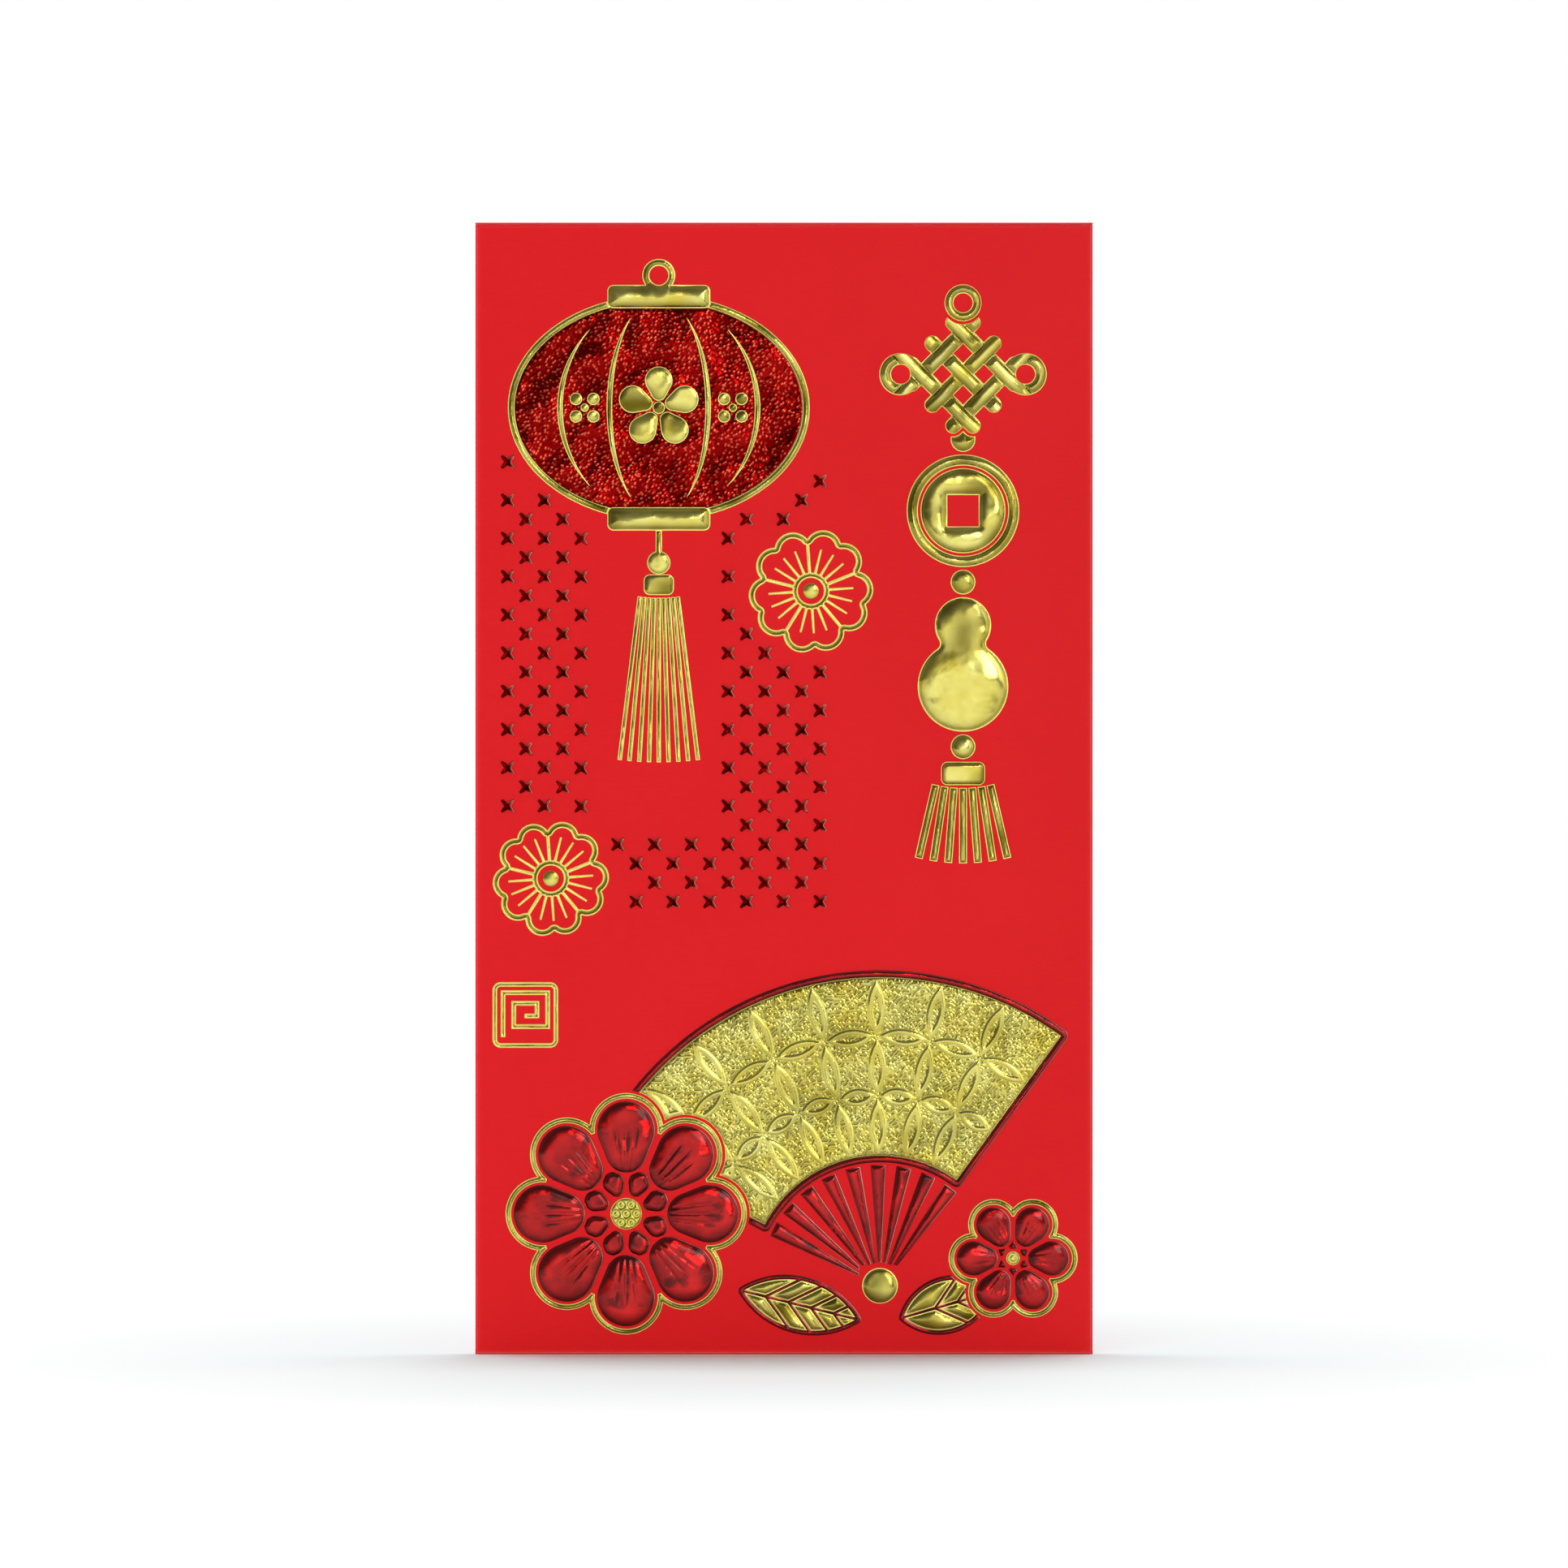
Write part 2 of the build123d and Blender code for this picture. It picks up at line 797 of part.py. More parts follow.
with BuildPart() as lantern_ribs:
    for rib in range(1, rib_count + 1):
        with BuildSketch(field_plane):
            with Locations(lantern_at):
                Ellipse(rib * rib_pitch + rib_width / 2, lantern_half_height)
                Ellipse(
                    rib * rib_pitch - rib_width / 2,
                    lantern_half_height + rib_width,
                    mode=Mode.SUBTRACT,
                )
                add(lantern_cap_pair.sketch, mode=Mode.SUBTRACT)
            add(stamped, mode=Mode.SUBTRACT)
        extrude(amount=overlay_relief)
finish(lantern_ribs.part, "lantern_ribs")

with BuildPart() as lantern_caps:
    with BuildSketch(face_plane):
        with Locations(lantern_at):
            add(lantern_cap_pair.sketch)
        with Locations(lantern_at + Vector(0, cap_reach + loop_radius - loop_width)):
            add(ring(loop_radius, loop_width))
        add(stamped, mode=Mode.SUBTRACT)
    extrude(amount=puff_relief)
finish(lantern_caps.part, "lantern_caps")

with BuildPart() as lantern_rosettes:
    with BuildSketch(field_plane):
        with Locations(lantern_at):
            add(petals(rosette_petals, rosette_radius, rosette_tip, rosette_root, rosette_length, 90))
            Circle(rosette_eye)
        with Locations(lantern_at - Vector(floret_x, 0), lantern_at + Vector(floret_x, 0)):
            with PolarLocations(floret_radius, floret_petals, 45):
                Circle(floret_tip)
            Circle(floret_eye)
        add(stamped, mode=Mode.SUBTRACT)
    extrude(amount=overlay_relief)
finish(lantern_rosettes.part, "lantern_rosettes")

bead_drop = cap_reach + tassel_cord_length + tassel_bead
head_drop = bead_drop + tassel_bead + tassel_head_height / 2
with BuildPart() as lantern_tassel:
    with BuildSketch(face_plane):
        with Locations(lantern_at - Vector(0, cap_reach)):
            Rectangle(
                tassel_cord_width,
                tassel_cord_length + tassel_bead,
                align=(Align.CENTER, Align.MAX),
            )
        with Locations(lantern_at - Vector(0, bead_drop)):
            Circle(tassel_bead)
        with Locations(lantern_at - Vector(0, head_drop)):
            RectangleRounded(tassel_head_width, tassel_head_height, cap_corner)
        with Locations(lantern_at - Vector(0, head_drop + tassel_head_height / 2 + foil_gap)):
            add(fringe(fringe_count, fringe_length, fringe_width, fringe_angle))
        add(stamped, mode=Mode.SUBTRACT)
    extrude(amount=line_relief)
finish(lantern_tassel.part, "lantern_tassel")

with BuildSketch() as lantern_room:
    with Locations(lantern_at):
        Ellipse(
            lantern_half_width + outline_width + foil_gap,
            lantern_half_height + outline_width + foil_gap,
        )
stamped = joined(stamped, lantern_room.sketch, room(lantern_caps.part, lantern_tassel.part))


# Line-drawn blossoms


def line_blossom(radius):
    petal_turn = 360 / blossom_petals
    valley = radius - blossom_valley
    notch = radius - blossom_notch
    spacing = petal_turn / (stamens_per_petal + 1)
    root = blossom_ring - blossom_ring_line / 2
    with BuildSketch() as edge:
        with BuildLine():
            for petal in range(blossom_petals):
                start = blossom_angle + petal * petal_turn
                middle = start + petal_turn / 2
                end = start + petal_turn
                ThreePointArc(
                    polar(valley, start), polar(radius, (start + middle) / 2), polar(notch, middle)
                )
                ThreePointArc(
                    polar(notch, middle), polar(radius, (middle + end) / 2), polar(valley, end)
                )
        make_face()
    with BuildSketch() as profile:
        add(edge.sketch)
        add(grown(edge.sketch, -blossom_line), mode=Mode.SUBTRACT)
        for petal in range(blossom_petals):
            first = blossom_angle + petal * petal_turn
            with Locations(Location((0, 0, 0), first)):
                with Locations((root, 0)):
                    Rectangle(
                        valley - blossom_line / 2 - root,
                        blossom_divider,
                        align=(Align.MIN, Align.CENTER),
                    )
            for line in range(stamens_per_petal):
                with Locations(Location((0, 0, 0), first + (line + 1) * spacing)):
                    Polygon(
                        (root, -stamen_root / 2),
                        (stamen_reach, -stamen_tip / 2),
                        (stamen_reach, stamen_tip / 2),
                        (root, stamen_root / 2),
                        align=None,
                    )
        add(ring(blossom_ring, blossom_ring_line))
        Circle(blossom_eye)
    return profile.sketch


def blossom_room(place, radius):
    with BuildSketch() as profile:
        with Locations(place):
            Circle(radius + foil_gap)
    return profile.sketch


with BuildPart() as upper_blossom:
    with BuildSketch(face_plane):
        with Locations(upper_blossom_at):
            add(line_blossom(upper_blossom_radius))
        add(stamped, mode=Mode.SUBTRACT)
    extrude(amount=line_relief)
finish(upper_blossom.part, "upper_blossom")
stamped = joined(stamped, blossom_room(upper_blossom_at, upper_blossom_radius))

with BuildPart() as lower_blossom:
    with BuildSketch(face_plane):
        with Locations(lower_blossom_at):
            add(line_blossom(lower_blossom_radius))
        add(stamped, mode=Mode.SUBTRACT)
    extrude(amount=line_relief)
finish(lower_blossom.part, "lower_blossom")
stamped = joined(stamped, blossom_room(lower_blossom_at, lower_blossom_radius))

# Square seal with a key fret

fret_half = seal_side / 2 - seal_pitch
fret_inner = fret_half - seal_pitch
with BuildPart() as seal_fret:
    with BuildSketch(face_plane):
        with Locations(seal_at):
            RectangleRounded(seal_side, seal_side, seal_corner)
            RectangleRounded(
                seal_side - 2 * seal_line,
                seal_side - 2 * seal_line,
                seal_corner - seal_line,
                mode=Mode.SUBTRACT,
            )
        with BuildLine():
            Polyline(
                seal_at + Vector(-fret_half, -fret_half),
                seal_at + Vector(-fret_half, fret_half),
                seal_at + Vector(fret_half, fret_half),
                seal_at + Vector(fret_half, -fret_inner),
                seal_at + Vector(-fret_inner, -fret_inner),
                seal_at + Vector(-fret_inner, fret_inner),
                seal_at + Vector(fret_inner, fret_inner),
                seal_at + Vector(fret_inner, seal_pitch - fret_inner),
                seal_at + Vector(seal_pitch - fret_inner, seal_pitch - fret_inner),
            )
        trace(line_width=seal_line)
        add(stamped, mode=Mode.SUBTRACT)
    extrude(amount=line_relief)
finish(seal_fret.part, "seal_fret")
stamped = joined(stamped, room(seal_fret.part))

# Grid of small crosses, left open where the other motifs stand

with BuildSketch() as cross_window:
    with Locations((window_from_left - half_width, packet_height - window_from_top)):
        Rectangle(window_width, window_height, align=(Align.MIN, Align.MAX))
taken = joined(stamped, cross_window.sketch)

cross_places = []
for row in range(cross_rows):
    for column in range(cross_columns):
        x = cross_from_left - half_width + (column + row % 2 / 2) * cross_column_pitch
        z = packet_height - cross_from_top - row * cross_row_pitch
        if taken.distance_to(Vertex(x, z)) > cross_radius + cross_margin:
            cross_places.append((x, z))

cross_points = []
for arm in range(4):
    turn = 45 + 90 * arm
    side = polar(cross_tip / 2, turn + 90)
    cross_points.append(polar(cross_radius, turn) - side)
    cross_points.append(polar(cross_radius, turn) + side)
    cross_points.append(polar(cross_waist, turn + 45))

with BuildPart() as cross_grid:
    with BuildSketch(face_plane):
        with Locations(*cross_places):
            Polygon(*cross_points, align=None)
    extrude(amount=line_relief)
finish(cross_grid.part, "cross_grid")
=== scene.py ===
import math
import bpy
import bmesh
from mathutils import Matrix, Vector, noise
from mathutils.bvhtree import BVHTree


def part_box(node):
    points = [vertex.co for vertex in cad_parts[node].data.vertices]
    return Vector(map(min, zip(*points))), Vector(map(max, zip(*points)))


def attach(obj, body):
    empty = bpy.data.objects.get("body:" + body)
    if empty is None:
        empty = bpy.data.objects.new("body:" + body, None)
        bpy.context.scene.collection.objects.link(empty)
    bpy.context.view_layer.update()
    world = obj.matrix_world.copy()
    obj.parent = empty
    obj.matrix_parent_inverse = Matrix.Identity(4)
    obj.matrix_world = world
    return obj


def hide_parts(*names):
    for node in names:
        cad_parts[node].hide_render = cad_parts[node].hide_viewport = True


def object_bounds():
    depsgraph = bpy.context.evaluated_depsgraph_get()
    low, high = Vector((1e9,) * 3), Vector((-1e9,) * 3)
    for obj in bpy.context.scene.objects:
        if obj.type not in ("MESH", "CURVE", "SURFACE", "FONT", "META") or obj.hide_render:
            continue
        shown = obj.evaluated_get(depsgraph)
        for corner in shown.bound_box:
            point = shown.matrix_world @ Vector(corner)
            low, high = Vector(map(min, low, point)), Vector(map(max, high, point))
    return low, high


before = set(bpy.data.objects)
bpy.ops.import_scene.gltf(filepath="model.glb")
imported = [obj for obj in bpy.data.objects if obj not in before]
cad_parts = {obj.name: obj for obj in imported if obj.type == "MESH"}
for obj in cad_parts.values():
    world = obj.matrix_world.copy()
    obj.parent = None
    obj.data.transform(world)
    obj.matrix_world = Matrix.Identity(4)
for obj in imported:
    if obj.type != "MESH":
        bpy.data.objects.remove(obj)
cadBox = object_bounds()
scene = bpy.context.scene
scene.view_settings.view_transform = "Standard"
mm = 0.001
print("frame loaded:", len(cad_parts), "nodes")


# shader wiring

class Wire:  # a node socket that takes part in sums
    def __init__(self, tree, socket=None):
        self.tree = tree
        self.socket = socket

    def feed(self, node, inputs):  # links a wire to a socket, or sets a fixed value on it
        for name, value in inputs.items():
            if isinstance(value, Wire):
                self.tree.links.new(value.socket, node.inputs[name])
            else:
                node.inputs[name].default_value = value

    def node(self, kind, settings={}, inputs={}, out=0):
        made = self.tree.nodes.new("ShaderNode" + kind)
        for name, value in settings.items():
            if name == "stops":
                setStops(made.color_ramp, value)
            else:
                setattr(made, name, value)
        self.feed(made, inputs)
        return None if out is None else Wire(self.tree, made.outputs[out])

    def also(self, out):  # another output of the same node
        return Wire(self.tree, self.socket.node.outputs[out])

    def math(self, operation, first, second=0.0, clamp=False):
        return self.node("Math", {"operation": operation, "use_clamp": clamp}, {0: first, 1: second})

    def blend(self, share, first, second):  # colours, by a share from 0 to 1
        return self.node("Mix", {"data_type": "RGBA"}, {0: share, 6: first, 7: second}, 2)

    def clamped(self):
        return self.math("ADD", self, 0.0, True)

    def __add__(self, other):
        return self.math("ADD", self, other)

    def __sub__(self, other):
        return self.math("SUBTRACT", self, other)

    def __rsub__(self, other):
        return self.math("SUBTRACT", other, self)

    def __mul__(self, other):
        return self.math("MULTIPLY", self, other)

    def __truediv__(self, other):
        return self.math("DIVIDE", self, other)

    def __rtruediv__(self, other):
        return self.math("DIVIDE", other, self)

    __radd__ = __add__
    __rmul__ = __mul__


def setStops(ramp, stops):
    while len(ramp.elements) < len(stops):
        ramp.elements.new(1.0)
    for element, (place, colour) in zip(ramp.elements, stops):
        element.position = place
        element.color = colour


def linear(red, green, blue):  # a screen colour, 0 to 255, as the shader wants it
    parts = [c / 255 for c in (red, green, blue)]
    return [c / 12.92 if c <= 0.04045 else ((c + 0.055) / 1.055) ** 2.4 for c in parts] + [1.0]


def newPaint(name):
    paint = bpy.data.materials.new(name)
    paint.use_nodes = True
    tree = paint.node_tree
    return paint, Wire(tree), tree.nodes["Principled BSDF"]


def noiseAt(wire, place, grain, detail=2.0):  # grain is the size of a speck, in mm
    return wire.node("TexNoise", {}, {"Vector": place, "Scale": 1 / (grain * mm), "Detail": detail}, "Fac")


def bumpFrom(wire, height, depth=1.0):  # depth in mm for a height of 1
    return wire.node("Bump", {}, {"Height": height, "Strength": 1.0, "Distance": depth * mm}, "Normal")


def attributeAt(wire, name):
    return wire.node("Attribute", {"attribute_name": name}, out="Fac")


# foil finishes

filmLook = {  # what all the stamped film shares, lengths in mm
    "patch": 4.0,  # between brighter and duller stretches, a painted reflection
    "patchGain": 2.4,
    "patchFrom": 0.7,
    "waveDepth": 0.3,
    "dent": 1.5,  # between small dents
    "dentDepth": 0.03,
    "hairDepth": 0.006,  # hairlines
    "hairRough": 0.12,
}


def patchShare(patch):
    return (patch * filmLook["patchGain"] - filmLook["patchFrom"]).clamped()


def filmHeight(wire, place, wave, hair, waves):  # slow waves, small dents and hairlines, in mm
    dents = noiseAt(wire, place, filmLook["dent"], 0.0) * filmLook["dentDepth"]
    return (wave * filmLook["waveDepth"] + dents) * waves + hair * filmLook["hairDepth"]


goldLook = {
    "pale": linear(248, 241, 138),
    "warm": linear(226, 208, 86),
    # shadeOlive: painted shade for the gold film's low places, steep flanks, crease valleys and grooves
    "shadeOlive": linear(112, 99, 26),
    # rim: pale colour painted as a highlight along the foil's edge
    "rim": linear(248, 246, 128),
    "wave": 5.0,  # mm, slow unevenness of the film
    "hollowShadeBelow": 0.56,  # share of the wave under which painted shade turns the film olive
    "hollowShadeGain": 1.2,
    "crease": 0.62,  # mm, the worm-like wrinkles
    "creaseSharp": 6.0,
    "creaseFade": 0.12,  # mm over which the wrinkles begin
    "grooveFade": 0.05,
    "grooveShadeShare": 0.8,
    "rimFade": 0.4,  # share of the rim's width
    "rimMatt": 0.7,
    "rimRough": 0.2,
    "hair": 0.13,  # mm
    "rough": 0.09,
}
goldFinishes = {  # widths, gaps and depths in mm
    "goldPuff": {"name": "gold foil puffed", "flank": 0.75, "waves": 2.4, "rimWidth": 0.15},
    "goldField": {"name": "gold foil crinkled", "flank": 0.5, "waves": 1.0, "rimWidth": 0.15,
                  "creaseFrom": 0.0, "creaseDepth": 0.04, "valley": 0.6},
    "goldLattice": {"name": "gold foil lattice", "flank": 0.3, "waves": 1.0, "rimWidth": 0.08,
                    "creaseFrom": 0.85, "creaseDepth": 0.04, "valley": 0.55},
    "goldLine": {"name": "gold foil line", "flank": 0.5, "waves": 1.0, "rimWidth": 0.24,
                 "groove": (0.28, 0.56)},
}


def goldFoil(finish):
    look = goldLook
    paint, wire, shader = newPaint(finish["name"])
    place = wire.node("TexCoord", out="Object")
    wave = noiseAt(wire, place, look["wave"], 0.0)
    hair = noiseAt(wire, place, look["hair"])
    edge = attributeAt(wire, "edgeGap")
    height = filmHeight(wire, place, wave, hair, finish["waves"])
    # painted reflection: brighter and duller patches of the gold film
    colour = wire.blend(patchShare(noiseAt(wire, place, filmLook["patch"])), look["warm"], look["pale"])
    # painted shade: olive in the low places of the film's slow waves
    hollowShade = (look["hollowShadeBelow"] - wave) * finish["waves"] * look["hollowShadeGain"]
    colour = wire.blend(hollowShade.clamped(), colour, look["shadeOlive"])
    # painted shade: steep flanks turn olive
    colour = wire.blend(attributeAt(wire, "steep") * finish["flank"], colour, look["shadeOlive"])
    if "valley" in finish:
        offRidge = wire.math("ABSOLUTE", noiseAt(wire, place, look["crease"], 0.0) - 0.5)
        crease = (1 - offRidge * look["creaseSharp"]).clamped()
        inside = ((edge - finish["creaseFrom"]) / look["creaseFade"]).clamped()
        # painted shade: olive in the valleys between the wrinkles
        colour = wire.blend((1 - crease) * inside * finish["valley"], colour, look["shadeOlive"])
        height = crease * inside * finish["creaseDepth"] + height
    if "groove" in finish:
        start, end = finish["groove"]
        pastStart = ((edge - start) / look["grooveFade"]).clamped()
        beforeEnd = ((end - edge) / look["grooveFade"]).clamped()
        # painted shade: olive along the groove of a line
        colour = wire.blend(pastStart * beforeEnd * look["grooveShadeShare"], colour, look["shadeOlive"])
    # painted highlight: a pale, less metallic rim along the foil's edge
    onRim = ((finish["rimWidth"] - edge) / (finish["rimWidth"] * look["rimFade"])).clamped()
    wire.feed(shader, {
        "Base Color": wire.blend(onRim, colour, look["rim"]),
        "Metallic": 1 - onRim * look["rimMatt"],
        "Roughness": onRim * look["rimRough"] + hair * filmLook["hairRough"] + look["rough"],
        "Normal": bumpFrom(wire, height),
    })
    return paint


redLook = {
    "deep": linear(150, 6, 8),
    "bright": linear(214, 26, 24),
    # dark: painted shade on steep flanks, and the crosses' own dark tone
    "dark": linear(62, 0, 0),
    "fieldShade": linear(96, 0, 0),
    # dot: painted highlight on the pebble tops
    "dot": linear(250, 104, 76),
    "sideTint": linear(226, 96, 88),  # keeps the film red when seen from the side
    "wave": 4.0,  # mm
    "waves": 2.6,
    "pebble": 0.55,  # mm
    "pebbleSmooth": 0.3,
    "rimWidth": 0.14,  # mm
    "rimFade": 0.5,  # share of the rim's width
    "rimGain": 1.3,
    "rimShare": 0.9,
    "rimMatt": 0.8,
    "rimRough": 0.15,
    "hair": 0.14,  # mm
    "rough": 0.08,
    "coatRough": 0.1,
}
redFinishes = {
    "redPuff": {"name": "red foil puffed", "rim": linear(240, 150, 130), "pebbleDepth": 0.01, "flank": 0.75,
                "coat": 0.5},
    "redField": {"name": "red foil crinkled", "rim": linear(240, 150, 130), "pebbleDepth": 0.08,
                 "flank": 0.75, "coat": 0.0, "field": {"most": 0.95, "lessByPatch": 0.6},
                 "dots": {"size": 1.5, "sharp": 3.6, "gain": 1.7}},
    "redPressed": {"name": "red foil pressed", "rim": linear(255, 140, 120), "pebbleDepth": 0.01,
                   "darkShare": 0.9, "coat": 0.0},
}


def redFoil(finish):
    look = redLook
    paint, wire, shader = newPaint(finish["name"])
    place = wire.node("TexCoord", out="Object")
    patch = noiseAt(wire, place, filmLook["patch"])
    wave = noiseAt(wire, place, look["wave"], 0.0)
    hair = noiseAt(wire, place, look["hair"])
    pebbles = {"Vector": place, "Scale": 1 / (look["pebble"] * mm), "Smoothness": look["pebbleSmooth"]}
    cells = wire.node("TexVoronoi", {"feature": "SMOOTH_F1"}, pebbles, "Distance")
    edge = attributeAt(wire, "edgeGap")
    # painted reflection: brighter and duller patches of the red film
    colour = wire.blend(patchShare(patch), look["deep"], look["bright"])
    if "darkShare" in finish:
        colour = wire.blend(finish["darkShare"], colour, look["dark"])
    else:
        # painted shade: steep flanks turn dark red
        colour = wire.blend(attributeAt(wire, "steep") * finish["flank"], colour, look["dark"])
    if "dots" in finish:
        field, dots = finish["field"], finish["dots"]
        # painted shade over the field, lighter where the patch noise paints a sheen
        colour = wire.blend(field["most"] - patch * field["lessByPatch"], colour, look["fieldShade"])
        # painted highlights: bright dots on the pebble tops
        spots = (dots["size"] - cells * dots["sharp"]).clamped()
        colour = wire.blend(spots * patch * dots["gain"], colour, look["dot"])
    onRim = ((look["rimWidth"] - edge) / (look["rimWidth"] * look["rimFade"])).clamped()
    # painted highlight: a pale rim on the edges that face the light
    litRim = onRim * (attributeAt(wire, "edgeSide") * look["rimGain"]).clamped() * look["rimShare"]
    height = filmHeight(wire, place, wave, hair, look["waves"]) - cells * finish["pebbleDepth"]
    wire.feed(shader, {
        "Base Color": wire.blend(litRim, colour, finish["rim"]),
        "Metallic": 1 - litRim * look["rimMatt"],
        "Roughness": onRim * look["rimRough"] + hair * filmLook["hairRough"] + look["rough"],
        "Coat Weight": finish["coat"],
        "Coat Roughness": look["coatRough"],
        "Specular Tint": look["sideTint"],
        "Normal": bumpFrom(wire, height),
    })
    return paint


# paper and adhesive finishes

paperLook = {  # lengths in mm
    # foldRed: painted highlight along the folds, also the second tone of cut edges
    "foldRed": linear(236, 52, 57),
    "foldHighlight": 0.9,  # paler paper along the folds, a painted highlight
    "highlightLeast": 0.45,
    "highlightByFibre": 0.5,
    "cloud": 26.0,
    "cloudShare": 0.9,
    "fibre": 0.5,
    "fibreShare": 0.7,
    "fibreScale": (0.22, 1.0, 1.0),  # fibres lie level
    "shadeBelow": 0.42,
    "tooth": 0.12,
    "toothShare": 0.6,
    "toothDepth": 0.012,
    "rough": 0.62,
    "fibreRough": 0.12,
    "sheen": 0.08,
}
paperFinishes = {
    "paper": {"name": "red paper", "main": linear(225, 32, 36), "shade": linear(217, 27, 32), "folded": True},
    "inside": {"name": "unprinted paper", "main": linear(244, 232, 224), "shade": linear(232, 216, 206),
               "folded": False},
    "cut": {"name": "cut paper edge", "main": linear(240, 214, 205), "shade": paperLook["foldRed"],
            "folded": False},
}


def nearFold(wire, place):  # 1 on the outer edges of the packet, 0 further in
    across = wire.node("SeparateXYZ", {}, {"Vector": place})
    upright = across.also("Z")
    side = cadBox[1].x - wire.math("ABSOLUTE", across)
    ends = wire.math("MINIMUM", upright, cadBox[1].z - upright)
    return (1 - wire.math("MINIMUM", side, ends) / (paperLook["foldHighlight"] * mm)).clamped()


def paperPaint(finish):
    look = paperLook
    paint, wire, shader = newPaint(finish["name"])
    place = wire.node("TexCoord", out="Object")
    laid = wire.node("Mapping", {}, {"Vector": place, "Scale": look["fibreScale"]}, "Vector")
    cloud = noiseAt(wire, place, look["cloud"])
    fibre = noiseAt(wire, laid, look["fibre"], 3.0)
    tooth = noiseAt(wire, place, look["tooth"])
    share = (cloud * look["cloudShare"] + fibre * look["fibreShare"] - look["shadeBelow"]).clamped()
    colour = wire.blend(share, finish["shade"], finish["main"])
    if finish["folded"]:
        # painted highlight: paler red along the packet's folds
        foldLit = nearFold(wire, place) * (fibre * look["highlightByFibre"] + look["highlightLeast"])
        colour = wire.blend(foldLit, colour, look["foldRed"])
    wire.feed(shader, {
        "Base Color": colour,
        "Roughness": look["rough"] - fibre * look["fibreRough"],
        "Specular IOR Level": look["sheen"],
        "Normal": bumpFrom(wire, tooth * look["toothShare"] + fibre, look["toothDepth"]),
    })
    return paint


adhesiveLook = {"smearRough": 0.3, "smearDepth": 0.02}  # depth in mm
adhesiveFinishes = {
    "glue": {"name": "dried glue", "pale": linear(236, 226, 196), "deep": linear(214, 198, 156), "rough": 0.3,
             "smear": 1.4},
    "gum": {"name": "flap gum", "pale": linear(238, 230, 205), "deep": linear(222, 208, 172), "rough": 0.12,
            "smear": 2.2},
}


def adhesivePaint(finish):
    paint, wire, shader = newPaint(finish["name"])
    smear = noiseAt(wire, wire.node("TexCoord", out="Object"), finish["smear"], 3.0)
    wire.feed(shader, {
        "Base Color": wire.blend(smear, finish["pale"], finish["deep"]),
        "Roughness": smear * adhesiveLook["smearRough"] + finish["rough"],
        "Normal": bumpFrom(wire, smear, adhesiveLook["smearDepth"]),
    })
    return paint


paints = {}
for mixPaint, finishes in ((goldFoil, goldFinishes), (redFoil, redFinishes), (paperPaint, paperFinishes),
                           (adhesivePaint, adhesiveFinishes)):
    for key, finish in finishes.items():
        paints[key] = mixPaint(finish)
print("finishes:", len(paints))


# mesh helpers

weld = 0.002 * mm


def copyNode(name):
    mesh = bmesh.new()
    mesh.from_mesh(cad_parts[name].data)
    bmesh.ops.remove_doubles(mesh, verts=mesh.verts, dist=weld)
    return mesh


def meshObject(mesh, name, materials):
    data = bpy.data.meshes.new(name)
    mesh.to_mesh(data)
    mesh.free()
    for paint in materials:
        data.materials.append(paint)
    piece = bpy.data.objects.new(name, data)
    scene.collection.objects.link(piece)
    return piece


def addPiece(mesh, look, materials, body):
    piece = meshObject(mesh, look["name"], materials)
    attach(piece, body)
    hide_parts(look["node"])


def clip(value):
    return max(0.0, min(1.0, value))


# stamped foil

stampLook = {  # lengths in mm
    "insets": (0.1, 0.12),  # steps of the rim
    "probe": 0.05,  # how far behind a front its gap to the sides is measured
    "onEdge": 0.01,  # a smaller gap is on the edge itself
    "levelSlack": 0.02,
    "gridSlack": 0.001,
    "quickGrid": 2.0,
    "lipStart": 0.7,  # share of the lip's height at the edge itself
    "roundSteps": 9,
    "underShare": 0.35,  # height of a strand where it runs under another
    "pastGroove": 0.6,
    "veinFade": 2.0,
    "ripple": 0.07,
    "rippleSize": 2.6,
    "rippleFade": 0.4,
    "steepFrom": 0.06,  # slope at which painted shade starts on a steep side
    "steepSpan": 0.35,
    "leastFacing": 0.01,
    "wallFacing": 0.5,
    "frontFacing": -0.7,
    "backFacing": 0.9,
}
litSide = Vector((-1, 0, -0.3)).normalized()  # an edge whose inside lies this way gets a painted highlight


def roundSection(rim, lip, reach):  # a flat rim, then a swelling quarter round
    section = [(0.0, lip * stampLook["lipStart"]), (rim, lip)]
    steps = stampLook["roundSteps"]
    for step in range(1, steps + 1):
        turn = math.pi / 2 * step / steps
        section.append((rim + reach * (1 - math.cos(turn)), lip + (1 - lip) * math.sin(turn)))
    return section


# cross sections: mm from the edge, share of the relief
puffed = roundSection(0.22, 0.14, 1.7)
slim = roundSection(0.14, 0.18, 0.7)
tube = roundSection(0.1, 0.22, 0.45)
domed = roundSection(0.06, 0.15, 1.1)
channel = [(0.0, 0.15), (0.08, 0.8), (0.15, 1.0), (0.24, 0.95), (0.34, 0.35), (0.5, 0.25), (0.62, 0.55),
           (0.8, 0.85), (1.1, 1.0)]
pressed = [(0.0, 0.5), (0.06, 1.0), (0.12, 0.8), (0.25, 0.1), (0.5, 0.0)]
flatField = [(0.0, 0.2), (0.12, 0.6), (0.3, 0.9), (0.55, 1.0)]
ringedLeaf = [(0.0, 0.05), (0.14, 0.5), (0.34, 0.93), (0.48, 1.0), (0.64, 0.88), (0.84, 0.35), (1.0, 0.12),
              (1.4, 0.25)]


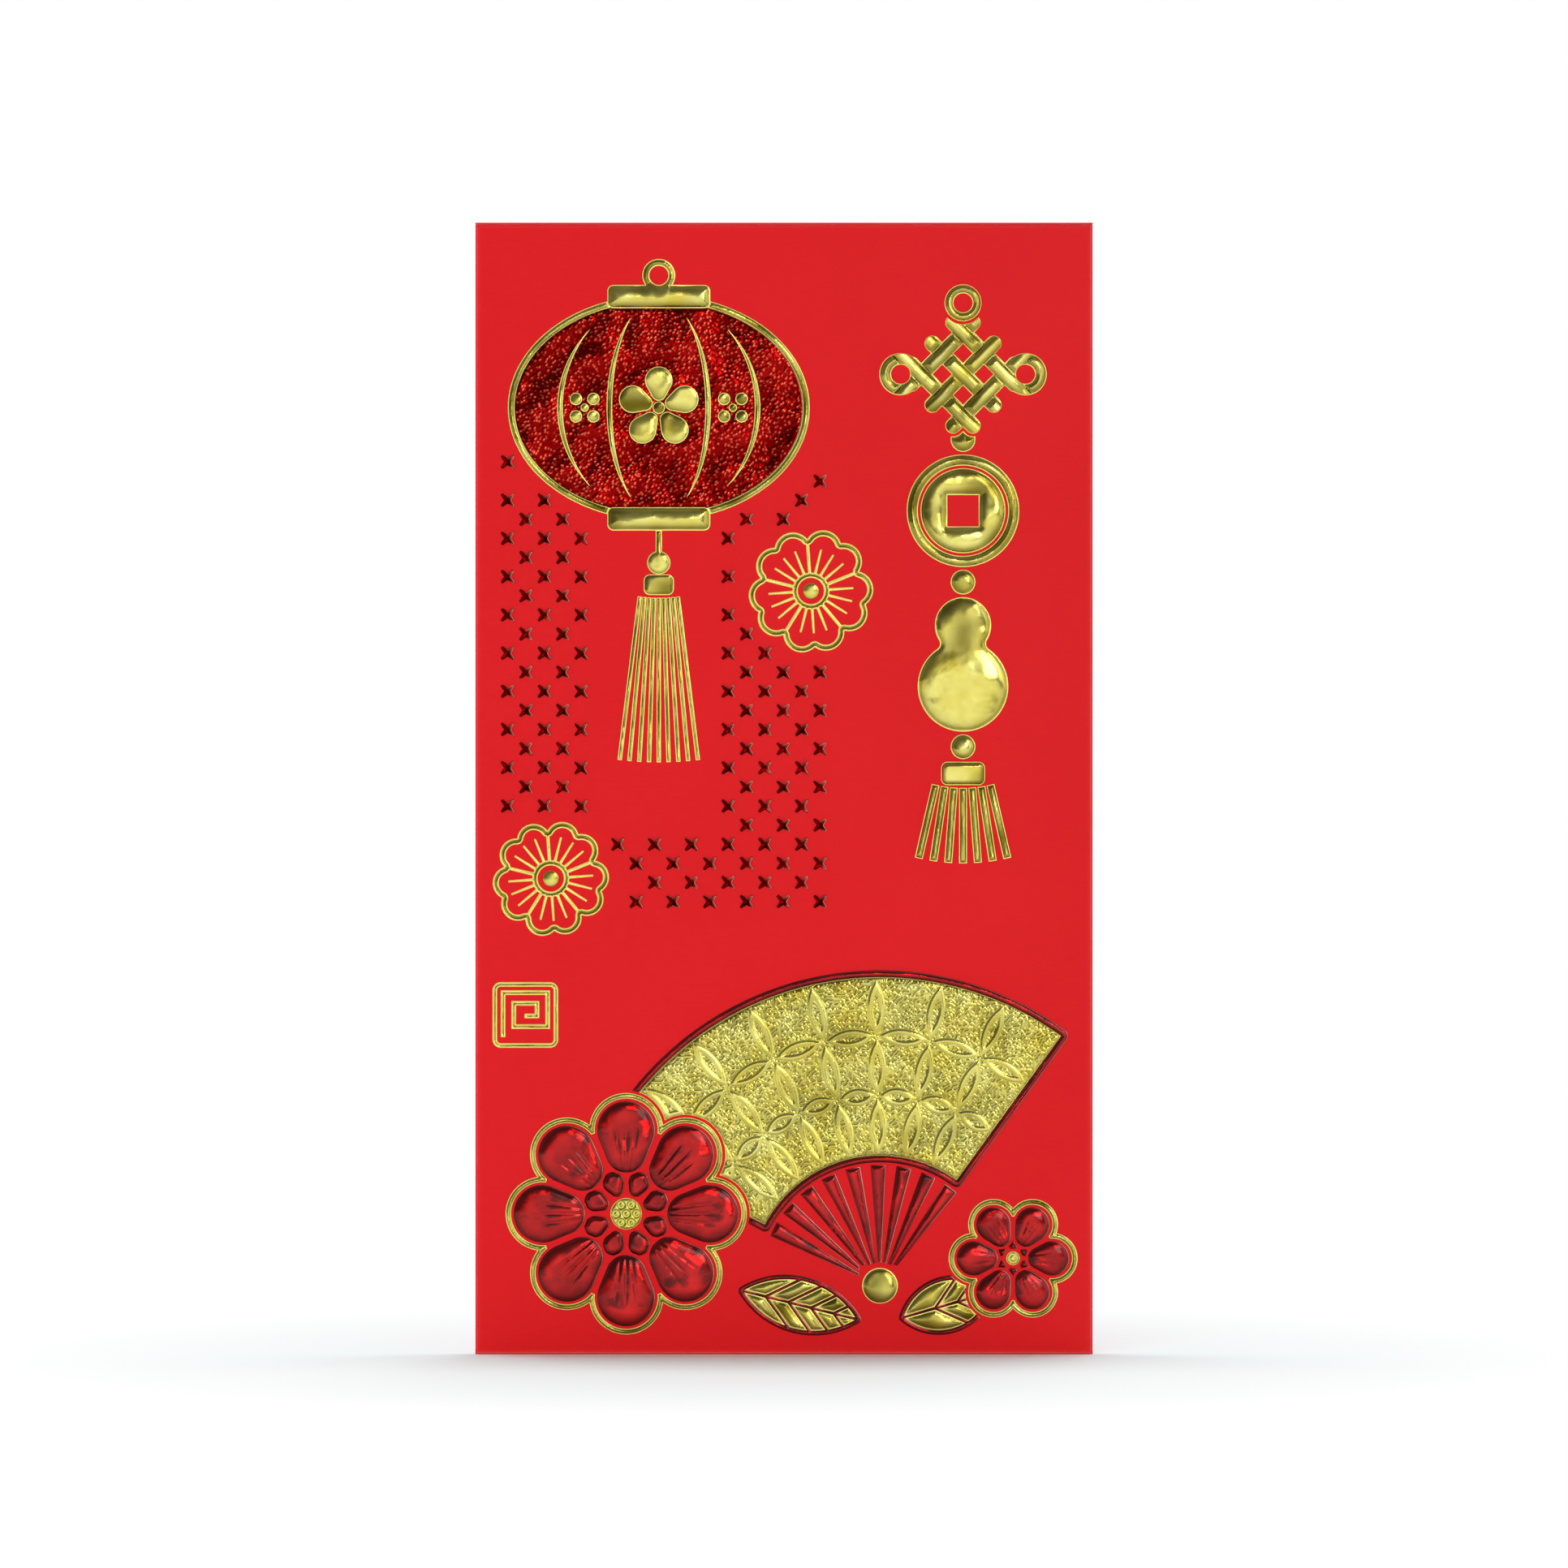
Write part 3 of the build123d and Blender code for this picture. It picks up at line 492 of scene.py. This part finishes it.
def sectionShare(section, gap):  # the share of the relief at a distance from the edge
    for (nearGap, nearShare), (farGap, farShare) in zip(section, section[1:]):
        if gap < farGap:
            return nearShare + (farShare - nearShare) * (gap - nearGap) / (farGap - nearGap)
    return section[-1][1]


def dice(mesh, faces, grid):  # cuts a front into a grid, so that it can swell
    parts = list(faces)
    parts += list({edge for face in faces for edge in face.edges})
    parts += list({vert for face in faces for vert in face.verts})
    corners = [part.co.copy() for part in parts if isinstance(part, bmesh.types.BMVert)]
    slack = stampLook["gridSlack"] * mm
    for axis in (0, 2):
        lowest = min(corner[axis] for corner in corners)
        highest = max(corner[axis] for corner in corners)
        count = math.ceil((highest - lowest) / (grid * mm))
        for step in range(1, count):
            place = Vector((0, 0, 0))
            place[axis] = lowest + step * (highest - lowest) / count
            normal = Vector((0, 0, 0))
            normal[axis] = 1.0
            cut = bmesh.ops.bisect_plane(mesh, geom=parts, dist=slack, plane_co=place, plane_no=normal)
            parts = cut["geom"]
    return [part for part in parts if isinstance(part, bmesh.types.BMFace)]


def wallTree(name):  # the upright sides of a foil, to measure from
    mesh = copyNode(name)
    mesh.normal_update()
    level = [face for face in mesh.faces if abs(face.normal.y) > stampLook["wallFacing"]]
    bmesh.ops.delete(mesh, geom=level, context="FACES")
    tree = BVHTree.FromBMesh(mesh)
    mesh.free()
    return tree


def wovenGap(look, away):  # gap to the side of the strand on top, and how far it is clear of the other
    pitch = look["pitch"] * mm
    half = look["strand"] * mm / 2
    spots = []
    for lane in ((away.x + away.z) / math.sqrt(2), (away.x - away.z) / math.sqrt(2)):
        number = max(-look["lanes"], min(look["lanes"], round(lane / pitch)))
        spots.append((number, abs(lane - number * pitch)))
    (firstNumber, first), (secondNumber, second) = spots
    firstOnTop = (firstNumber + secondNumber) % 2 == 0
    top, under = (first, second) if firstOnTop else (second, first)
    if top <= half:
        return (half - top) / mm, 1.0
    if under <= half:
        return (half - under) / mm, min(1.0, (top - half) / (look["dip"] * mm))
    return None, 1.0


def veinDepth(look, away):  # grooves that run out along each petal
    reach = math.hypot(away.x, away.z) / mm
    spacing = 360 / look["petals"]
    turn = (math.degrees(math.atan2(away.z, away.x)) + spacing / 2) % spacing - spacing / 2
    depth = 0.0
    for vein in look["veins"]:
        aside = reach * math.sin(math.radians(turn - vein))
        depth = max(depth, math.exp(-((aside / look["veinWidth"]) ** 2)))
    return depth * clip((look["veinEnd"] - reach) / stampLook["veinFade"]) * look["veinDepth"]


def reliefAt(look, spot, away, gap):  # the share of the relief, and the gap that the paint reads
    share = sectionShare(look["section"], gap)
    if look.get("strand"):
        onTop, clear = wovenGap(look, away)
        if onTop is not None and gap > stampLook["onEdge"]:
            under = stampLook["underShare"]
            share = sectionShare(look["section"], onTop) * (under + (1 - under) * clear)
    if look.get("eye") and away.xz.length < look["eye"] * mm:
        share = sectionShare(domed, gap)
        gap = max(gap, stampLook["pastGroove"])  # no groove shade is painted on the eye
    if look.get("veins"):
        share -= veinDepth(look, away) * min(1.0, gap)
    rippled = 0.5 + 0.5 * noise.noise(spot / (look.get("rippleSize", stampLook["rippleSize"]) * mm))
    fade = min(1.0, gap / stampLook["rippleFade"])
    return share - look.get("ripple", stampLook["ripple"]) * rippled * fade, gap


def stampFoil(look):
    mesh = copyNode(look["node"])
    mesh.normal_update()
    tree = wallTree(look["node"])
    gapLayer = mesh.verts.layers.float.new("edgeGap")
    sideLayer = mesh.verts.layers.float.new("edgeSide")
    steepLayer = mesh.verts.layers.float.new("steep")
    fronts = [face for face in mesh.faces if face.normal.y < stampLook["frontFacing"]]
    levels = sorted({round(face.calc_center_median().y / mm, 2) for face in fronts}, reverse=True)
    lowest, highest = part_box(look["node"])
    middle = (lowest + highest) / 2
    base = highest.y
    coarse = 1.0
    slack = stampLook["levelSlack"]
    for level in levels:
        faces = [face for face in fronts if abs(face.calc_center_median().y / mm - level) < slack]
        rings = list(faces)
        for step in look.get("insets", stampLook["insets"]):
            made = bmesh.ops.inset_region(mesh, faces=faces, thickness=step * mm, use_boundary=True)
            rings += made["faces"]
        if look.get("grid"):
            rings += dice(mesh, faces, look["grid"] * coarse)
        verts = {vert for face in rings if face.is_valid for vert in face.verts}
        relief = base - level * mm
        for vert in verts:
            probe = Vector((vert.co.x, level * mm + stampLook["probe"] * mm, vert.co.z))
            wall, _, _, distance = tree.find_nearest(probe)
            share, gap = reliefAt(look, vert.co, vert.co - middle, distance / mm)
            vert.co.y = base - relief * share
            vert[gapLayer] = gap
            # edgeSide: how far an edge faces the side that gets the painted highlight
            inward = (probe - wall).normalized()
            vert[sideLayer] = inward.dot(litSide) if gap > stampLook["onEdge"] else 0.0
        base = level * mm
    big = [face for face in mesh.faces if len(face.verts) > 4]
    bmesh.ops.triangulate(mesh, faces=big)
    mesh.normal_update()
    for vert in mesh.verts:
        slope = math.hypot(vert.normal.x, vert.normal.z) / max(stampLook["leastFacing"], abs(vert.normal.y))
        vert[steepLayer] = clip((slope - stampLook["steepFrom"]) / stampLook["steepSpan"])
    for face in mesh.faces:
        face.smooth = face.normal.y < stampLook["backFacing"]
    count = len(mesh.faces)
    addPiece(mesh, look, [paints[look["foil"]]], "packet")
    print("stamped", look["name"], count, "faces")


def stampAll(ornament, looks):
    for look in looks:
        stampFoil(look)
    print(ornament, "done")


# lantern

lanternPieces = [
    {"name": "lanternField", "node": "lantern_field", "foil": "redField", "section": flatField, "grid": 0.3,
     "ripple": 0.12, "rippleSize": 0.9},
    {"name": "lanternOutline", "node": "lantern_outline", "foil": "goldPuff", "section": slim, "grid": 0.28},
    {"name": "lanternRibs", "node": "lantern_ribs", "foil": "goldPuff", "section": tube, "grid": 0.22},
    {"name": "lanternCaps", "node": "lantern_caps", "foil": "goldPuff", "section": puffed, "grid": 0.25},
    {"name": "lanternRosettes", "node": "lantern_rosettes", "foil": "goldPuff", "grid": 0.2,
     "section": roundSection(0.12, 0.18, 1.2)},
    {"name": "lanternTassel", "node": "lantern_tassel", "foil": "goldPuff", "section": slim, "grid": 0.22},
]
stampAll("lantern", lanternPieces)


# hanging charm

charmPieces = [
    {"name": "charmLoop", "node": "charm_loop", "foil": "goldPuff", "section": slim, "grid": 0.22},
    {"name": "charmKnot", "node": "charm_knot", "foil": "goldPuff", "grid": 0.2,
     "section": roundSection(0.18, 0.14, 0.95), "pitch": 4.3, "strand": 2.3, "lanes": 1, "dip": 0.7},
    {"name": "charmCoin", "node": "charm_coin", "foil": "goldPuff", "grid": 0.25,
     "section": roundSection(0.2, 0.14, 1.4)},
    {"name": "charmGourd", "node": "charm_gourd", "foil": "goldPuff", "grid": 0.28,
     "section": roundSection(0.24, 0.12, 4.2)},
    {"name": "charmBeads", "node": "charm_beads", "foil": "goldPuff", "grid": 0.2,
     "section": roundSection(0.18, 0.14, 1.5)},
    {"name": "charmTassel", "node": "charm_tassel", "foil": "goldPuff", "section": slim, "grid": 0.2},
]
stampAll("charm", charmPieces)


# folding fan

fanPieces = [
    {"name": "fanLeaf", "node": "fan_leaf", "foil": "goldField", "section": flatField, "grid": 0.32,
     "ripple": 0.12, "rippleSize": 0.8},
    {"name": "fanOutline", "node": "fan_outline", "foil": "redPuff", "section": tube, "grid": 0.28},
    {"name": "fanLattice", "node": "fan_lattice", "foil": "goldLattice", "section": ringedLeaf, "grid": 0.18},
    {"name": "fanSticks", "node": "fan_sticks", "foil": "redPuff", "section": slim, "grid": 0.25},
    {"name": "fanRivet", "node": "fan_rivet", "foil": "goldPuff", "grid": 0.22,
     "section": roundSection(0.2, 0.14, 2.2)},
]
stampAll("fan", fanPieces)


# flowers and leaves

petalLooks = {
    "peony": {"petals": 8, "veinEnd": 13.5, "veins": (-7.0, 0.0, 7.0), "veinWidth": 0.2, "veinDepth": 0.16},
    "bud": {"petals": 6, "veinEnd": 6.4, "veins": (-9.0, 0.0, 9.0), "veinWidth": 0.14, "veinDepth": 0.14},
}
flowerPieces = []
for flower, petalLook in petalLooks.items():
    flowerPieces += [
        {"name": flower + "OuterPetals", "node": flower + "_outer_petals", "foil": "redPuff", "grid": 0.22,
         "section": roundSection(0.12, 0.14, 2.4), **petalLook},
        {"name": flower + "InnerPetals", "node": flower + "_inner_petals", "foil": "redPuff", "grid": 0.18,
         "section": roundSection(0.1, 0.2, 0.8)},
        {"name": flower + "Edge", "node": flower + "_edge", "foil": "goldPuff", "grid": 0.24,
         "section": slim},
        {"name": flower + "Centre", "node": flower + "_centre", "foil": "goldPuff", "grid": 0.12,
         "section": roundSection(0.06, 0.2, 0.4), "insets": (0.06,)},
    ]
flowerPieces += [
    {"name": "leafBlades", "node": "leaf_blades", "foil": "goldPuff", "section": puffed, "grid": 0.24,
     "ripple": 0.14, "rippleSize": 1.6},
    {"name": "leafLines", "node": "leaf_lines", "foil": "redPuff", "section": tube, "grid": 0.22},
]
stampAll("flowers and leaves", flowerPieces)


# line ornaments

lineLook = {"foil": "goldLine", "section": channel, "insets": (0.08,), "ripple": 0.0}
linePieces = [
    {"name": "upperBlossom", "node": "upper_blossom", "grid": 0.11, "eye": 1.5, **lineLook},
    {"name": "lowerBlossom", "node": "lower_blossom", "grid": 0.11, "eye": 1.5, **lineLook},
    {"name": "sealFret", "node": "seal_fret", "grid": 0.13, **lineLook},
    {"name": "crossGrid", "node": "cross_grid", "foil": "redPressed", "section": pressed,
     "insets": (0.06, 0.08), "ripple": 0.0},
]
stampAll("line ornaments", linePieces)


# folded sheet

sheetLook = {
    "round": 0.05,  # mm, softened edges
    "flatAngle": 1,  # degrees
    "foldAngle": 40,
    "outerFacing": 0.3,  # faces past these are printed, or unprinted
    "innerFacing": -0.9,
}


def foldSheet(look):
    mesh = copyNode(look["node"])
    flat = math.radians(sheetLook["flatAngle"])
    fold = math.radians(sheetLook["foldAngle"])
    bmesh.ops.dissolve_limit(mesh, angle_limit=flat, verts=mesh.verts, edges=mesh.edges)
    mesh.normal_update()
    sharp = [edge for edge in mesh.edges if edge.calc_face_angle(0.0) > fold]
    bmesh.ops.bevel(mesh, geom=sharp, offset=sheetLook["round"] * mm, offset_type="OFFSET", affect="EDGES",
                    segments=2, profile=0.5, material=-1)
    mesh.normal_update()
    lowest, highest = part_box(look["node"])
    for vert in mesh.verts:
        vert.co = [max(low, min(high, at)) for low, at, high in zip(lowest, vert.co, highest)]
    outward = Vector(look["outward"])
    for face in mesh.faces:
        facing = face.normal.dot(outward)
        outer, inner = facing > sheetLook["outerFacing"], facing < sheetLook["innerFacing"]
        face.material_index = 0 if outer else 1 if inner else 2
        face.smooth = True
    addPiece(mesh, look, [paints["paper"], paints["inside"], paints[look["edge"]]], look["body"])
    print("folded", look["name"])


sheetPieces = [
    {"name": "frontPanel", "node": "front_panel", "body": "packet", "outward": (0, -1, 0), "edge": "paper"},
    {"name": "backPanel", "node": "back_panel", "body": "packet", "outward": (0, 1, 0), "edge": "cut"},
    {"name": "seamTab", "node": "seam_tab", "body": "packet", "outward": (0, 1, 0), "edge": "cut"},
    {"name": "bottomFlap", "node": "bottom_flap", "body": "packet", "outward": (0, 1, 0), "edge": "cut"},
    {"name": "leftSpine", "node": "left_spine", "body": "packet", "outward": (-1, 0, 0), "edge": "paper"},
    {"name": "rightSpine", "node": "right_spine", "body": "packet", "outward": (1, 0, 0), "edge": "paper"},
    {"name": "baseSpine", "node": "base_spine", "body": "packet", "outward": (0, 0, -1), "edge": "paper"},
    {"name": "topSpine", "node": "top_spine", "body": "top_fold", "outward": (0, 0, 1), "edge": "paper"},
    {"name": "closureFlap", "node": "closure_flap", "body": "flap", "outward": (0, 1, 0), "edge": "cut"},
]
for look in sheetPieces:
    foldSheet(look)

for node, paint in (("seam_glue", "glue"), ("bottom_flap_glue", "glue"), ("flap_gum", "gum")):
    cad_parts[node].material_slots[0].material = paints[paint]
print("sheet done")


# floor, reflections and lamps

white = (1, 1, 1, 1)


def stagePiece(mesh, name, paint):
    piece = meshObject(mesh, name, [paint])
    return piece


def seenRays(wire):  # 1 for what the camera, shiny and clear surfaces see
    path = wire.node("LightPath", out="Is Camera Ray")
    return (path + path.also("Is Glossy Ray") + path.also("Is Transmission Ray")).clamped()


floorLook = {  # lengths in metres
    "half": 4.0,
    "colour": (0.84, 0.91, 0.92, 1.0),
    "rough": 0.9,
    "shadowReach": 0.035,  # past this the floor fades to white
    "fade": 0.08,
}


def studioFloor(look):
    paint, wire, shader = newPaint("studio floor")
    wire.feed(shader, {"Base Color": look["colour"], "Roughness": look["rough"], "Specular IOR Level": 0.0})
    place = wire.node("TexCoord", out="Object")
    away = wire.node("VectorMath", {"operation": "LENGTH"}, {0: place}, "Value")
    far = ((away - look["shadowReach"]) / look["fade"]).clamped()
    glow = wire.node("Emission", {}, {"Color": white, "Strength": 1.0})
    painted = Wire(wire.tree, shader.outputs["BSDF"])
    mixed = wire.node("MixShader", {}, {0: far * seenRays(wire), 1: painted, 2: glow})
    wire.feed(wire.tree.nodes["Material Output"], {"Surface": mixed})
    mesh = bmesh.new()
    bmesh.ops.create_grid(mesh, x_segments=1, y_segments=1, size=look["half"])
    stagePiece(mesh, "floor", paint)


studioFloor(floorLook)

tentLook = {
    "radius": 2.4,
    "strength": 4.0,
    "front": (0.03, -1.0, 0.07),  # where the glow round the lens is centred
    "glow": [(0.0, 0.14), (0.5, 0.1), (0.75, 0.06), (0.86, 0.045),  # dim sides, dark round the glow
             (0.93, 0.055), (0.965, 0.08), (0.985, 0.16), (1.0, 0.28)],
    "waver": 0.04,  # unevenness of the glow
    "waverScale": 5.0,
    "lamps": [  # direction, width and level
        ((0.85, -0.55, 0.3), 0.14, 0.4),  # a wide window on the right
        ((0.26, -0.93, 0.28), 0.014, 1.0),  # two small hard lamps at the upper right
        ((0.42, -0.75, 0.52), 0.012, 1.0),
    ],
    "lampFade": 0.5,  # share of a lamp's width
}


def facingTo(wire, way, target):  # 1 straight at the target, 0 square to it
    return wire.node("VectorMath", {"operation": "DOT_PRODUCT"},
                     {0: way, 1: Vector(target).normalized()}, "Value")


def grey(level):
    return (level, level, level, 1.0)


def reflectionTent(look):  # a half dome that only shiny surfaces see
    paint = bpy.data.materials.new("reflection tent")
    paint.use_nodes = True
    paint.node_tree.nodes.clear()
    wire = Wire(paint.node_tree)
    place = wire.node("TexCoord", out="Object")
    way = wire.node("VectorMath", {"operation": "NORMALIZE"}, {0: place})
    waver = wire.node("TexNoise", {}, {"Vector": way, "Scale": look["waverScale"], "Detail": 1.0}, "Fac")
    front = facingTo(wire, way, look["front"]) + (waver - 0.5) * look["waver"]
    stops = [(at, grey(level)) for at, level in look["glow"]]
    colour = wire.node("ValToRGB", {"stops": stops}, {"Fac": front}, "Color")
    for target, width, level in look["lamps"]:
        near = facingTo(wire, way, target)
        lit = ((near - (1 - width)) / (width * look["lampFade"])).clamped()
        colour = wire.blend(lit, colour, grey(level))
    light = wire.node("Emission", {}, {"Color": colour, "Strength": look["strength"]})
    wire.node("OutputMaterial", {}, {"Surface": light}, None)
    mesh = bmesh.new()
    bmesh.ops.create_uvsphere(mesh, u_segments=48, v_segments=24, radius=look["radius"])
    bmesh.ops.bisect_plane(mesh, geom=mesh.verts[:] + mesh.edges[:] + mesh.faces[:], plane_co=(0, 0, 0),
                           plane_no=(0, 1, 0), clear_outer=True)
    tent = stagePiece(mesh, "reflectionTent", paint)
    tent.visible_camera = False
    tent.visible_diffuse = False
    tent.visible_shadow = False
    tent.visible_transmission = False


reflectionTent(tentLook)


def softBox(look):
    lamp = bpy.data.lights.new(look["name"], "AREA")
    lamp.shape = "RECTANGLE"
    lamp.size, lamp.size_y = look["size"]
    lamp.energy = look["watts"]
    holder = bpy.data.objects.new(look["name"], lamp)
    holder.location = look["at"]
    aim = Vector(look["aim"]) - Vector(look["at"])
    holder.rotation_euler = aim.to_track_quat("-Z", "Y").to_euler()
    holder.visible_camera = False
    holder.visible_glossy = False  # shiny surfaces see the tent instead
    scene.collection.objects.link(holder)


lampPieces = [  # sizes and places in metres
    {"name": "topBox", "size": (1.0, 0.3), "watts": 12.0, "at": (0.0, 0.15, 1.4), "aim": (0, 0.15, 0)},
    {"name": "backBox", "size": (0.9, 0.6), "watts": 9.0, "at": (0.35, 1.6, 0.7), "aim": (0, 0, 0.08)},
    {"name": "frontBox", "size": (0.9, 0.6), "watts": 14.2, "at": (-0.35, -1.6, 0.3), "aim": (0, 0, 0.08)},
]
for look in lampPieces:
    softBox(look)

worldLook = {"seen": 1.0, "cast": 0.26}  # the white that is seen, and the light that it gives
world = bpy.data.worlds.new("white studio")
scene.world = world
world.use_nodes = True
worldWire = Wire(world.node_tree)
strength = seenRays(worldWire) * (worldLook["seen"] - worldLook["cast"]) + worldLook["cast"]
worldWire.feed(world.node_tree.nodes["Background"], {"Color": white, "Strength": strength})
print("stage done")


# camera, square on to the front

cameraLook = {
    "distance": 1.2,  # metres
    "frameWidth": 0.2286,
    "height": 0.08315,
    "sensor": 36.0,  # mm
}
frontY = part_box("front_panel")[0].y
glass = bpy.data.cameras.new("camera")
glass.sensor_width = cameraLook["sensor"]
glass.lens = cameraLook["sensor"] * cameraLook["distance"] / cameraLook["frameWidth"]
camera = bpy.data.objects.new("camera", glass)
camera.location = (0, frontY - cameraLook["distance"], cameraLook["height"])
camera.rotation_euler = (math.pi / 2, 0, 0)
scene.collection.objects.link(camera)
scene.camera = camera
